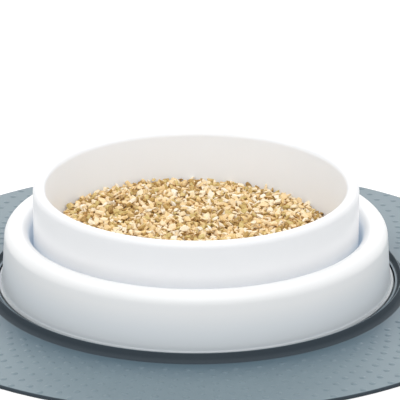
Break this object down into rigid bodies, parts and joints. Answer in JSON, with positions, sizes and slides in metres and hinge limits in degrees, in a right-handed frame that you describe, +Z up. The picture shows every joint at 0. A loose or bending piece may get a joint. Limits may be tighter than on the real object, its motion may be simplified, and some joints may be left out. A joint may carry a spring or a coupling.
{
  "type": "cat bowl on a grip mat",
  "caption": "Round drop-in bowl of dry granules in a moulded holder ring, seated in the raised collar of a wide dotted rubber grip mat.",
  "frame": {"origin": "middle of the underside of the mat, on the floor", "axes": "+Z up along the common axis of the mat, ring and bowl; every direction round it is alike"},
  "size_m": [0.36, 0.36, 0.061],
  "materials": {
    "mat_rubber": "satin blue-grey rubber with moulded grip dots",
    "white_ring_plastic": "satin-gloss white moulded plastic",
    "white_bowl_plastic": "satin-gloss white moulded plastic, a little warmer inside",
    "granules": "small dry flaky granules, tan, cream and brown"
  },
  "bodies": {
    "mat": {"rubber_mat": "mat_rubber"},
    "ring": {"holder_ring": "white_ring_plastic"},
    "bowl": {"drop_in_bowl": "white_bowl_plastic", "granule_fill": "granules"}
  },
  "joints": [
    {"name": "ring_lift", "type": "slide", "parent": "mat", "child": "ring", "axis": [0, 0, 1], "range_m": [0, 0.05]},
    {"name": "bowl_lift", "type": "slide", "parent": "ring", "child": "bowl", "axis": [0, 0, 1], "range_m": [0, 0.08]}
  ]
}
